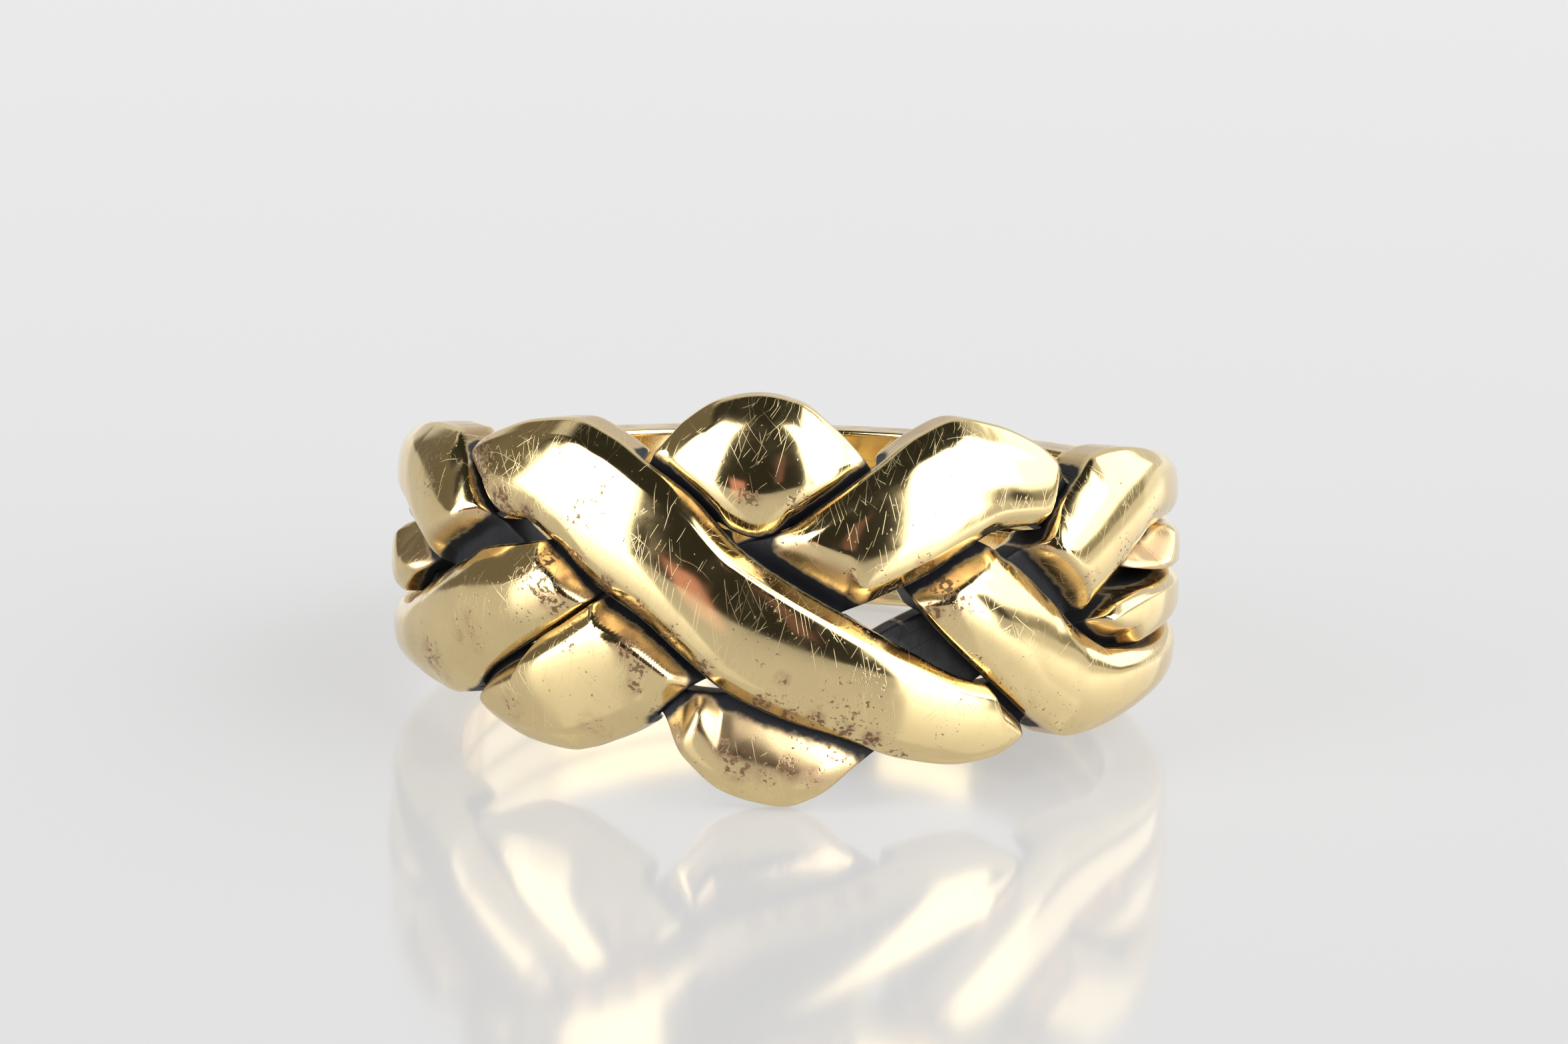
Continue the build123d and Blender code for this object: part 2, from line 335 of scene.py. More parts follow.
# Wear of each band: scratches and specks, from 0 to 1
WEAR = {
    "long_diagonal_band": (0.40, 0.7),
    "arch_band": (0.34, 0.6),
    "crossing_band": (0.38, 0.7),
    "cradle_band": (0.30, 0.8),
}

# Stains, where brown pits crowd: angle in degrees, height and radius in millimetres, and amount, which is
# whole up to this share of the radius
STAIN_CORE = 0.3
STAINS = {
    "long_diagonal_band": [
        (-46.0, 3.00, 1.10, 0.8),
        (-41.0, 2.10, 0.80, 0.9),
        (-36.0, 1.85, 0.50, 1.0),
        (-27.0, 0.85, 0.50, 0.9),
        (-22.0, 0.25, 0.50, 0.9),
        (-17.0, -0.30, 0.50, 0.9),
        (-12.0, -0.95, 0.50, 0.7),
        (-7.4, -1.75, 0.50, 1.0),
        (1.5, -2.60, 0.45, 1.0),
        (5.6, -2.95, 0.40, 1.0),
        (9.4, -3.00, 0.40, 1.0),
        (13.7, -3.30, 0.40, 1.0),
        (17.7, -3.50, 0.40, 1.0),
        (4.5, -1.90, 0.30, 0.7),
    ],
    "arch_band": [
        (-32.7, 0.74, 0.50, 0.8),
        (-31.3, -0.08, 0.60, 0.9),
        (-29.6, -0.37, 0.50, 0.9),
        (-34.9, 0.22, 0.60, 0.6),
        (-47.0, -1.40, 0.80, 0.5),
        (-58.0, -2.40, 0.80, 0.7),
        (-1.0, 2.75, 0.50, 0.8),
        (6.0, 2.65, 0.50, 0.9),
        (27.7, 0.45, 0.55, 1.0),
        (30.0, 0.00, 0.50, 0.7),
        (26.0, -0.20, 0.40, 0.9),
    ],
    "crossing_band": [
        (-17.8, -1.35, 0.45, 0.9),
        (-16.3, -1.80, 0.40, 1.0),
        (-17.0, -2.30, 0.35, 0.9),
        (-24.6, -3.50, 0.60, 0.4),
        (-38.0, -3.20, 0.50, 0.5),
        (14.0, 0.80, 0.40, 0.6),
        (24.0, 1.10, 0.40, 0.5),
    ],
    "cradle_band": [
        (-59.0, 2.30, 0.60, 0.6),
        (-4.0, -3.80, 0.40, 0.6),
        (-2.0, -4.30, 0.60, 0.8),
        (2.5, -4.50, 0.50, 0.7),
        (5.7, -4.30, 0.50, 0.9),
        (9.7, -4.45, 0.40, 0.6),
        (53.0, 0.50, 0.40, 0.5),
    ],
}

# Table
TABLE_SIZE = 4.0
TABLE_WAVE_SCALE = 60.0
TABLE_WAVE_HEIGHT = 0.002 * MM

# Light: the dark room, and patches of the surroundings.
# Columns: middle azimuth (0 towards the camera's side, positive towards +X) and elevation, half sizes
# and softness, in degrees; azimuth that a degree of elevation adds; strength; colour.
ROOM_COLOUR = (0.030, 0.030, 0.026)
SKY_PATCHES = [
    (180.0, 0.0, 70.0, 52.0, 16.0, 0.0, 0.72, (1.0, 1.0, 1.0)),
    (-112.0, 16.0, 29.0, 28.0, 6.0, 0.0, 0.22, (0.80, 0.72, 0.58)),
    (104.0, -2.0, 24.0, 7.0, 4.0, 0.0, 0.40, (0.80, 0.76, 0.66)),
    (112.0, 27.0, 34.0, 17.0, 5.0, 0.0, 2.40, (1.0, 1.0, 0.98)),
    (-57.0, 20.0, 16.5, 34.0, 4.0, 0.30, 4.50, (1.0, 1.0, 0.98)),
    (84.0, 44.0, 14.0, 14.0, 6.0, 0.0, 4.50, (1.0, 1.0, 0.98)),
    (66.0, 34.0, 9.0, 20.0, 5.0, 0.0, 4.50, (1.0, 1.0, 0.98)),
    (48.0, 30.0, 10.0, 30.0, 4.0, -0.25, 4.50, (1.0, 1.0, 0.98)),
    (-22.0, 4.0, 5.0, 5.0, 4.0, 0.0, 0.75, (1.0, 0.50, 0.46)),
    (17.0, 22.0, 2.0, 10.0, 3.0, 0.0, 0.22, (1.0, 0.55, 0.50)),
]

# Camera, measured in the photo: pixel of the ring's middle, and focal length in pixels
SENSOR_WIDTH = 36.0
FOCAL_PIXELS = 12853.0
RING_MIDDLE_PIXEL = (1183.0, 832.0)


def length(name, millimetres, description):
    """A size in Blender's length unit, given in millimetres."""
    return FloatProperty(
        name=name, description=description, default=millimetres * MM, min=0.0, unit="LENGTH", precision=5
    )


def share(name, value, description):
    """A share from 0 to 1."""
    return FloatProperty(
        name=name, description=description, default=value, min=0.0, max=1.0, subtype="FACTOR"
    )


def turn(name, degrees, description):
    """An angle, given in degrees."""
    return FloatProperty(
        name=name, description=description, default=math.radians(degrees), subtype="ANGLE"
    )


def colour(name, value, description):
    """A linear red, green and blue colour."""
    return FloatVectorProperty(
        name=name, description=description, default=value, size=3, min=0.0, max=1.0, subtype="COLOR"
    )


class BandSizes(bpy.types.PropertyGroup):
    """Sizes that all the bands share."""

    back_wall: length("Back wall", 1.50, "Thickness of the bands round the back")
    woven_wall: length("Woven wall", 2.07, "Thickness of the whole weave at the front")
    lower_level: length("Lower level", 0.95, "Height over the bore of a band where another covers it")
    level_gap: length("Level gap", 0.06, "Gap between a covered band and the band over it")
    lane_width: length("Lane width", 1.17, "Width of a band round the back")
    lane_pitch: length("Lane pitch", 1.23, "Distance between the bands' middles round the back")
    crown_radius: length("Crown radius", 4.2, "Radius of the dome across a band")
    bevel_drop: length("Bevel drop", 0.42, "How far a bevel falls from ridge to edge")
    full_bevel_half_width: length("Full bevel half width", 1.45, "Half width from which bevels are full")
    barrel_drop: length("Barrel drop", 0.45, "Fall of the woven face 4 mm over or under its middle")
    underside_clearance: length("Underside clearance", 0.14, "Hollow of an upper band beside the lower")
    underside_ramp: length("Underside ramp", 0.25, "Length of the slope at the end of a hollow")
    edge_round: length("Edge round", 0.09, "Radius of a band's outer edges")
    inner_round: length("Inner round", 0.12, "Radius of a band's inner edges")
    back_ends_at: turn("Back ends at", 125.0, "Angle at which the wall starts to grow")
    weave_starts_at: turn("Weave starts at", 65.0, "Angle at which the wall is as thick as the weave")


class GoldLook(bpy.types.PropertyGroup):
    """Colours and finish of the worn gold, with painted shade in the recesses and on the slopes."""

    gold: colour("Gold", (0.85, 0.67, 0.345), "Polished pale yellow gold")
    # Redder, darker gold: painted shade on the side walls and slopes, and the redder tone of the slow tint
    red_tone_and_shade_gold: colour("Flank gold", (0.62, 0.44, 0.26), "Redder gold of side walls and slopes")
    fresh_gold: colour("Fresh gold", (0.90, 0.80, 0.52), "Paler gold of fresh scratches")
    tarnish: colour("Tarnish", (0.13, 0.06, 0.02), "Brown pitted specks")
    film: colour("Film", (0.46, 0.27, 0.16), "Thin brown film in the stains")
    # Blue-black oxide and painted shade in the recesses between and under the bands
    oxide_and_shade: colour("Oxide", (0.006, 0.007, 0.012), "Blue-black in the recesses")
    polish: share("Polish", 0.10, "Roughness of the open faces")
    smudge_roughness: share("Smudge roughness", 0.08, "Roughness that smudges add")
    scratch_roughness: share("Scratch roughness", 0.35, "Roughness that a scratch adds")
    lump_height: length("Lump height", 0.008, "Height of the slow waves of hand polishing")
    scratch_depth: length("Scratch depth", 0.0012, "Depth of the hairline scratches")
    pit_depth: length("Pit depth", 0.004, "Depth of the tarnished pits")


class StageLook(bpy.types.PropertyGroup):
    """Table, background and camera."""

    table: colour("Table", (0.20, 0.20, 0.205), "Glossy pale table")
    table_glow: colour("Table glow", (0.44, 0.44, 0.44), "Light that the table gives, lit from below")
    background: colour("Background", (0.78, 0.78, 0.79), "Pale background")
    table_roughness: share("Table roughness", 0.10, "Roughness of the table's gloss")
    table_ior: FloatProperty(
        name="Table IOR", description="Refractive index of the table's gloss", default=1.45
    )
    camera_distance: length("Camera distance", 230.0, "Distance from the ring's middle")
    camera_azimuth: turn("Camera azimuth", 4.8, "Turn of the camera round the finger's axis")
    camera_elevation: turn("Camera elevation", 7.2, "Height of the camera over the ring's middle plane")
    camera_roll: turn("Camera roll", 1.3, "Turn of the camera about its own line of sight")


def smooth_step(low, high, value):
    """0 below low, 1 above high and a smooth cubic between them."""
    part = np.clip((value - low) / (high - low), 0.0, 1.0)
    return part**2 * (3 - 2 * part)


def soft_positive(value, softness):
    """The value where it is positive and 0 where it is negative, with the corner rounded."""
    return (value + np.sqrt(value**2 + softness**2)) / 2


def soft_ramp(value, softness):
    """A straight slope from 0 to 1, with both corners rounded."""
    return soft_positive(value, softness) - soft_positive(value - 1, softness)


def smooth_through(knots, values, at):
    """A cubic through each value, flat where the values turn, so that it never overshoots."""
    steps = np.diff(knots)
    rises = np.diff(values) / steps
    before, after = rises[:-1], rises[1:]
    same_way = before * after > 0
    slopes = np.zeros(len(knots))
    sums = np.where(same_way, before + after, 1.0)
    slopes[1:-1] = np.where(same_way, 2 * before * after / sums, 0.0)
    left = np.clip(np.searchsorted(knots, at) - 1, 0, len(steps) - 1)
    part = (at - knots[left]) / steps[left]
    return (
        values[left] * (1 + 2 * part) * (1 - part) ** 2
        + slopes[left] * steps[left] * part * (1 - part) ** 2
        + values[left + 1] * part**2 * (3 - 2 * part)
        + slopes[left + 1] * steps[left] * part**2 * (part - 1)
    )


def outline(band, angle, sizes):
    """Heights of the band's low and high edges: its path over the front, and its lane round the back."""
    low_edge = (band["lane"] - 1.5) * sizes.lane_pitch - sizes.lane_width / 2
    lane = (low_edge / MM, (low_edge + sizes.lane_width) / MM)
    before = [(knot, *lane) for knot in (-180.0, -LANES_FROM)]
    after = [(knot, *lane) for knot in (LANES_FROM, 180.0)]
    path = np.array(before + band["path"] + after)
    low = smooth_through(path[:, 0], path[:, 1] * MM, angle)
    high = smooth_through(path[:, 0], path[:, 2] * MM, angle)
    return low, high


def arc_length(degrees, sizes):
    """Length along the band's face of a turn in degrees."""
    return np.radians(degrees) * (BORE_RADIUS + sizes.lower_level)


def squareness(band, angle, sizes):
    """Cosine of the band's climb: turns a height into a distance square to the band."""
    before = sum(outline(band, np.maximum(angle - CLIMB_STEP, -180.0), sizes)) / 2
    after = sum(outline(band, np.minimum(angle + CLIMB_STEP, 180.0), sizes)) / 2
    climb = (after - before) / arc_length(2 * CLIMB_STEP, sizes)
    return 1 / np.sqrt(1 + climb**2)


def weave_share(angle, sizes):
    """1 over the woven front, 0 round the back and smooth between them."""
    back_ends, weave_starts = math.degrees(sizes.back_ends_at), math.degrees(sizes.weave_starts_at)
    return 1 - smooth_step(weave_starts, back_ends, np.abs(angle))


def wall(angle, sizes):
    """Thickness of the whole wall at each angle, from the back's to the woven front's."""
    return sizes.back_wall + (sizes.woven_wall - sizes.back_wall) * weave_share(angle, sizes)


def barrel(angle, height, sizes):
    """Share of the full thickness: the woven front falls away above and below, as a barrel does."""
    part = np.abs(height) / BARREL_HEIGHT
    fall = np.where(part < 1, part**2, 2 * part - 1) * weave_share(angle, sizes)
    return 1 - sizes.barrel_drop / sizes.woven_wall * fall


def bevel_widths(band, half_width, sizes):
    """Widths and drop of the low and high bevels, smaller where the band is narrow."""
    scale = np.minimum(half_width / sizes.full_bevel_half_width, 1.0)
    low, high = band["bevels"]
    return low * MM * scale, high * MM * scale, sizes.bevel_drop * scale


def crowned_top(band, angle, height, sizes):
    """Height over the bore of the face that nothing covers: a dome across the band with two bevels."""
    low, high = outline(band, angle, sizes)
    square = squareness(band, angle, sizes)
    half_width = (high - low) / 2 * square
    across = (height - (high + low) / 2) * square
    low_bevel, high_bevel, drop = bevel_widths(band, half_width, sizes)
    low_ridge, high_ridge = band["ridges"]
    low_part = soft_positive((low_bevel - half_width - across) / low_bevel, low_ridge)
    high_part = soft_positive((high_bevel - half_width + across) / high_bevel, high_ridge)
    dome = across**2 / (2 * sizes.crown_radius)
    angles, leans = np.array(LEANS[band["node"]]).T
    lean = smooth_through(angles, leans, angle) * across
    if band is ARCH:
        edge, end = ARCH_DOME_ANGLES
        turned = np.abs(angle)
        fading = 1 - smooth_step(edge, end, turned)
        dome = dome + ARCH_DOME_FALL * np.minimum(turned / edge, 1.0) ** 2 * fading
    return wall(angle, sizes) - dome + lean - drop * (low_part + high_part)


def distance_outside(other, first, last, angle, height, sizes):
    """Distance from the stretch of the other band between two angles, and which side it is on."""
    low, high = outline(other, angle, sizes)
    square = squareness(other, angle, sizes)
    below = np.maximum(low - height, 0.0) * square
    above = np.maximum(height - high, 0.0) * square
    along = arc_length(np.maximum(np.maximum(first - angle, angle - last), 0.0), sizes)
    return below + above + along, above > below


def outer_and_inner(band, angle, height, sizes):
    """Outer and inner faces over the bore, how far a slope has fallen, and the nearest band's distance."""
    top = crowned_top(band, angle, height, sizes)
    lower_level, upper_level = sizes.lower_level, sizes.lower_level + sizes.level_gap
    inner = np.zeros_like(top)
    rise = np.ones_like(top)
    for upper, lower, first, last, side_below, side_above, softness in CROSSINGS:
        if lower is band:
            distance, is_above = distance_outside(upper, first, last, angle, height, sizes)
            flat = np.where(is_above, side_above[0], side_below[0]) * MM
            slope = np.where(is_above, side_above[1], side_below[1]) * MM
            rise = rise * soft_ramp((distance - flat) / slope, softness)
        if upper is band:
            distance, _ = distance_outside(lower, first, last, angle, height, sizes)
            part = (distance - sizes.underside_clearance) / sizes.underside_ramp
            inner = np.maximum(inner, upper_level * (1 - np.clip(part, 0.0, 1.0)))
    nearest = np.full_like(top, 1.0)
    for other in BANDS:
        if other is not band:
            distance, _ = distance_outside(other, -180.0, 180.0, angle, height, sizes)
            nearest = np.minimum(nearest, distance)
    outer = lower_level + (top - lower_level) * rise
    swell = barrel(angle, height, sizes)
    return outer * swell, inner * swell, 1 - rise, nearest


def section_angles():
    """Angles of the sections, close over the woven front and wider round the back."""
    front = np.arange(-FRONT_LIMIT, FRONT_LIMIT + FRONT_STEP / 2, FRONT_STEP)
    back = np.arange(FRONT_LIMIT + BACK_STEP, 360 - FRONT_LIMIT, BACK_STEP)
    return np.concatenate([front, np.where(back > 180, back - 360, back)])


def even(points):
    """Shares from 0 to 1 without the 0, at even steps."""
    return np.linspace(0.0, 1.0, points + 1)[1:]


def stretches(*parts):
    """Distances along a line of stretches, each given as its start, its end and its shares."""
    return np.concatenate([start + (end - start) * shares for start, end, shares in parts], axis=1)


def edge_drop(distance, width, radius):
    """Fall of a face to its two edges, each rounded as a quarter circle."""
    low = np.clip(radius - distance, 0.0, radius)
    high = np.clip(radius - (width - distance), 0.0, radius)
    return 2 * radius - np.sqrt(radius**2 - low**2) - np.sqrt(radius**2 - high**2)


def stained(band, angle, height, radius):
    """How stained the face is: the largest amount of the stains around, each fading to its radius."""
    most = np.zeros_like(height)
    for stain_angle, stain_height, reach, amount in STAINS[band["node"]]:
        distance = np.hypot(np.radians(angle - stain_angle) * radius, height - stain_height * MM)
        most = np.maximum(most, amount * (1 - smooth_step(STAIN_CORE * reach * MM, reach * MM, distance)))
    return most


def band_surface(band, sizes):
    """Grid round the finger and round the section, and what the gold needs to know at each point.

    A point of the grid is BORE_RADIUS plus its height over the bore, at its angle round the finger and at
    its height along the finger's axis.  The columns go over the outer face from the low edge to the high
    one, down the high flank, back over the inner face and up the low flank.
    """
    angle = section_angles()[:, None]
    low, high = outline(band, angle, sizes)
    square = squareness(band, angle, sizes)
    width = (high - low) * square
    low_bevel, high_bevel, _ = bevel_widths(band, width / 2, sizes)
    none = np.zeros_like(width)
    turned = 1 - np.cos(np.linspace(0.0, math.pi / 2, ROUND_POINTS))

    outer_round = none + sizes.edge_round
    outer_distance = stretches(
        (none, outer_round, turned),
        (outer_round, low_bevel, even(BEVEL_POINTS)),
        (low_bevel, width - high_bevel, even(FACE_POINTS)),
        (width - high_bevel, width - outer_round, even(BEVEL_POINTS)),
        (width, width - outer_round, turned[-2::-1]),
    )
    inner_round = none + sizes.inner_round
    inner_distance = stretches(
        (width, width - inner_round, turned),
        (width - inner_round, inner_round, even(INNER_POINTS)),
        (none, inner_round, turned[-2::-1]),
    )

    height = low + outer_distance / square
    outer, _, covered, nearest = outer_and_inner(band, angle, height, sizes)
    outer = outer - edge_drop(outer_distance, width, sizes.edge_round)
    inner_height = low + inner_distance / square
    _, inner, _, inner_nearest = outer_and_inner(band, angle, inner_height, sizes)
    inner = inner + edge_drop(inner_distance, width, sizes.inner_round)

    down = even(FLANK_POINTS)[:-1]
    high_flank = stretches((outer[:, -1:], inner[:, :1], down))
    low_flank = stretches((inner[:, -1:], outer[:, :1], down))
    over_bore = np.concatenate([outer, high_flank, inner, low_flank], axis=1)
    along_axis = np.concatenate(
        [height, high + 0 * high_flank, inner_height, low + 0 * low_flank], axis=1
    )
    radius = BORE_RADIUS + over_bore
    around = np.radians(angle)
    points = np.stack([radius * np.sin(around), -radius * np.cos(around), along_axis], axis=-1)

    step_along = np.hypot(
        *[np.diff(line, axis=0, append=line[:1]) for line in (low, radius[:, :1] * around)]
    )
    step_across = np.hypot(
        *[np.diff(line, axis=1, append=line[:, :1]) for line in (along_axis * square, over_bore)]
    )
    along = np.cumsum(step_along, axis=0) + 0 * over_bore
    across = np.cumsum(step_across, axis=1)

    nearest = np.concatenate(
        [nearest, nearest[:, -1:] + 0 * high_flank, inner_nearest, nearest[:, :1] + 0 * low_flank], axis=1
    )
    # Oxide and painted shade: blue-black where a point lies deep under the open face beside another band
    depth = wall(angle, sizes) * barrel(angle, along_axis, sizes) - over_bore
    crowded = 1 - smooth_step(*CROWDED_WITHIN, nearest)
    deep = smooth_step(*OXIDE_AND_SHADE_DEPTHS, depth)
    # Painted shade on the underside of a band where it arches over another
    hollow = smooth_step(*HOLLOW_HEIGHTS, inner)
    is_inner = np.concatenate([0 * outer, 0 * high_flank, 1 + 0 * inner, 0 * low_flank], axis=1)
    hollow = np.concatenate([0 * outer, 0 * high_flank, hollow, 0 * low_flank], axis=1)
    oxide_and_shade = (1 - is_inner) * crowded * deep + hollow

    # Slopes and side walls: where the redder gold with its painted shade goes
    sloping = np.concatenate(
        [smooth_step(*SLOPE_SHARES, covered), 1 + 0 * high_flank, 0 * inner, 1 + 0 * low_flank], axis=1
    )
    side = np.concatenate(
        [1 - outer_distance / width, 0 * high_flank, 0 * inner, 1 + 0 * low_flank], axis=1
    )
    woven = 1 - smooth_step(*WOVEN_WITHIN, np.abs(angle))
    grime = (side**2 * GRIME_LOW + crowded * GRIME_CROWDED) * (1 - is_inner) * woven
    stain = stained(band, angle, along_axis, radius) * (1 - is_inner)
    surface = np.stack([along, across, 0 * across], axis=-1)
    return points, {"oxide_and_shade": oxide_and_shade, "flank": sloping, "grime": grime, "stain": stain, "surface": surface}


def ring_turn():
    """Turn from the ring's own frame to the row's: sideways about Y, then back about X."""
    roll = math.asin(BORE_AXIS.x)
    lean = -math.atan2(BORE_AXIS.y, BORE_AXIS.z)
    return Matrix.Rotation(lean, 3, "X") @ Matrix.Rotation(roll, 3, "Y")


def ring_place():
    """Place of the ring's own frame in the row's."""
    return Matrix.Translation(BORE_MIDDLE) @ ring_turn().to_4x4()


def closed_grid(name, points, attributes):
    """Mesh of quads over a grid that joins up in both directions, with a value at each point."""
    rows, columns, _ = points.shape
    turn_matrix = np.array(ring_turn())
    places = points.reshape(-1, 3) @ turn_matrix.T + np.array(BORE_MIDDLE)
    row, column = np.meshgrid(np.arange(rows), np.arange(columns), indexing="ij")
    next_row, next_column = (row + 1) % rows, (column + 1) % columns
    corners = np.stack(
        [
            row * columns + column,
            next_row * columns + column,
            next_row * columns + next_column,
            row * columns + next_column,
        ],
        axis=-1,
    ).reshape(-1, 4)

    mesh = bpy.data.meshes.new(name)
    mesh.vertices.add(len(places))
    mesh.vertices.foreach_set("co", places.astype(np.float32).ravel())
    mesh.loops.add(corners.size)
    mesh.loops.foreach_set("vertex_index", corners.astype(np.int32).ravel())
    mesh.polygons.add(len(corners))
    mesh.polygons.foreach_set("loop_start", np.arange(0, corners.size, 4, dtype=np.int32))
    mesh.polygons.foreach_set("use_smooth", np.ones(len(corners), dtype=bool))
    mesh.update(calc_edges=True)
    for key, values in attributes.items():
        kind, field = ("FLOAT_VECTOR", "vector") if values.ndim == 3 else ("FLOAT", "value")
        layer = mesh.attributes.new(key, kind, "POINT")
        layer.data.foreach_set(field, values.astype(np.float32).ravel())
    mesh.validate()
    return mesh


class Graph:
    """Adds nodes to a tree and links them, so that a pattern reads as a sum."""

    def __init__(self, tree):
        self.tree = tree

    def node(self, kind, settings=None, **inputs):
        """A node with its settings, whose inputs are values or other nodes' outputs."""
        made = self.tree.nodes.new(kind)
        for key, value in (settings or {}).items():
            setattr(made, key, value)
        for key, value in inputs.items():
            self.feed(made.inputs[key.replace("_", " ")], value)
        return made

    def feed(self, socket, value):
        """Links an output to the socket, or sets the socket's value."""
        if isinstance(value, bpy.types.NodeSocket):
            self.tree.links.new(value, socket)
        else:
            socket.default_value = value

    def math(self, operation, *values):
        """A Math node's output."""
        made = self.node("ShaderNodeMath", {"operation": operation})
        for socket, value in zip(made.inputs, values):
            self.feed(socket, value)
        return made.outputs[0]

    def vector(self, operation, *values):
        """A Vector Math node's output."""
        made = self.node("ShaderNodeVectorMath", {"operation": operation})
        for socket, value in zip(made.inputs, values):
            self.feed(socket, value)
        return made.outputs["Vector"]

    def between(self, value, low, high):
        """0 below low, 1 above high and smooth between them."""
        made = self.node(
            "ShaderNodeMapRange",
            {"interpolation_type": "SMOOTHSTEP"},
            Value=value,
            From_Min=low,
            From_Max=high,
        )
        return made.outputs["Result"]

    def varied(self, amount, pattern, least, added):
        """An amount times a share: the least share, and more where the pattern is high."""
        part = self.math("ADD", least, self.math("MULTIPLY", pattern, added))
        return self.math("MULTIPLY", amount, part)

    def mix(self, factor, first, second):
        """A blend of two colours."""
        made = self.node("ShaderNodeMix", {"data_type": "RGBA"})
        for index, value in ((0, factor), (6, first), (7, second)):
            self.feed(made.inputs[index], value)
        return made.outputs[2]

    def noise(self, place, scale, detail=2.0):
        """A noise's value at a place."""
        made = self.node("ShaderNodeTexNoise", Vector=place, Scale=scale, Detail=detail)
        return made.outputs["Fac"]


def new_group(name, inputs, outputs):
    """A shader node group with named sockets, and its Graph, input node and output node."""
    tree = bpy.data.node_groups.new(name, "ShaderNodeTree")
    for label, kind, value in inputs:
        socket = tree.interface.new_socket(label, in_out="INPUT", socket_type=kind)
        if value is not None:
            socket.default_value = value
    for label, kind in outputs:
        tree.interface.new_socket(label, in_out="OUTPUT", socket_type=kind)
    return Graph(tree), tree.nodes.new("NodeGroupInput"), tree.nodes.new("NodeGroupOutput")


def rgba(value):
    """A colour with full alpha."""
    return (*value, 1.0)


def scratch_group():
    """Hairlines: one straight line in each cell of a pattern drawn out along the scratches' direction.

    Inputs: Surface (distances along and across the band), Turn (the direction, in radians), Cells (cells
    in a metre along and across the direction) and Amount (0 to 1).  Output: Lines.
    """
    graph, given, put = new_group(
        "hairline_scratches",
        [
            ("Surface", "NodeSocketVector", None),
            ("Turn", "NodeSocketFloat", 0.0),
            ("Cells", "NodeSocketVector", None),
            ("Amount", "NodeSocketFloat", 0.5),
        ],
        [("Lines", "NodeSocketFloat")],
    )
    turned = graph.node(
        "ShaderNodeVectorRotate",
        {"rotation_type": "Z_AXIS"},
        Vector=given.outputs["Surface"],
        Angle=given.outputs["Turn"],
    ).outputs["Vector"]
    drawn_out = graph.vector("MULTIPLY", turned, given.outputs["Cells"])
    cells = graph.node(
        "ShaderNodeTexVoronoi", {"feature": "F1", "voronoi_dimensions": "2D"}, Vector=drawn_out, Scale=1.0
    ).outputs
    offset = graph.vector("ABSOLUTE", graph.vector("SUBTRACT", drawn_out, cells["Position"]))
    parts = graph.node("ShaderNodeSeparateXYZ", Vector=offset).outputs
    chance = graph.node("ShaderNodeSeparateColor", Color=cells["Color"]).outputs
    patches = graph.between(
        graph.noise(given.outputs["Surface"], SCRATCH_PATCHES), *SCRATCH_PATCH_LEVELS
    )
    crowding = graph.math("ADD", SCRATCH_LEAST, patches)
    kept = graph.math(
        "LESS_THAN", chance["Red"], graph.math("MULTIPLY", given.outputs["Amount"], crowding)
    )
    long_part = graph.math("SUBTRACT", 1.0, graph.between(parts["X"], *SCRATCH_LENGTH))
    wide_part = graph.math("SUBTRACT", 1.0, graph.between(parts["Y"], *SCRATCH_HALF_WIDTH))
    line = graph.math("MULTIPLY", long_part, wide_part)
    strength = graph.math("MULTIPLY", chance["Green"], 1 - SCRATCH_FAINTEST)
    strength = graph.math("ADD", SCRATCH_FAINTEST, strength)
    graph.feed(put.inputs["Lines"], graph.math("MULTIPLY", graph.math("MULTIPLY", line, kept), strength))
    return graph.tree


def speck_group():
    """Pits: the high spots of a fine noise, more of them in stains, and where the grime is and a slow
    noise is high.

    Inputs: Position, Grime, Stain and Amount (0 to 1).  Output: Specks.
    """
    graph, given, put = new_group(
        "tarnish_specks",
        [
            ("Position", "NodeSocketVector", None),
            ("Grime", "NodeSocketFloat", 0.0),
            ("Stain", "NodeSocketFloat", 0.0),
            ("Amount", "NodeSocketFloat", 0.5),
        ],
        [("Specks", "NodeSocketFloat")],
    )
    fine = graph.noise(given.outputs["Position"], SPECK_SCALE, 3.0)
    slow = graph.noise(given.outputs["Position"], SPECK_PATCHES)
    patches = graph.between(slow, *SPECK_PATCH_LEVELS)
    gathered = graph.math("MULTIPLY", given.outputs["Grime"], patches)
    gathered = graph.math("MULTIPLY", gathered, given.outputs["Amount"])
    in_grime = graph.math("MULTIPLY", gathered, SPECKS_IN_GRIME)
    in_stains = graph.math("MULTIPLY", given.outputs["Stain"], SPECKS_IN_STAINS)
    raised = graph.math("ADD", fine, graph.math("MAXIMUM", in_grime, in_stains))
    graph.feed(put.inputs["Specks"], graph.between(raised, *SPECK_LEVELS))
    return graph.tree


def place_group(graph, tree, **inputs):
    """A group node in a material, with its inputs fed."""
    return graph.node("ShaderNodeGroup", {"node_tree": tree}, **inputs)


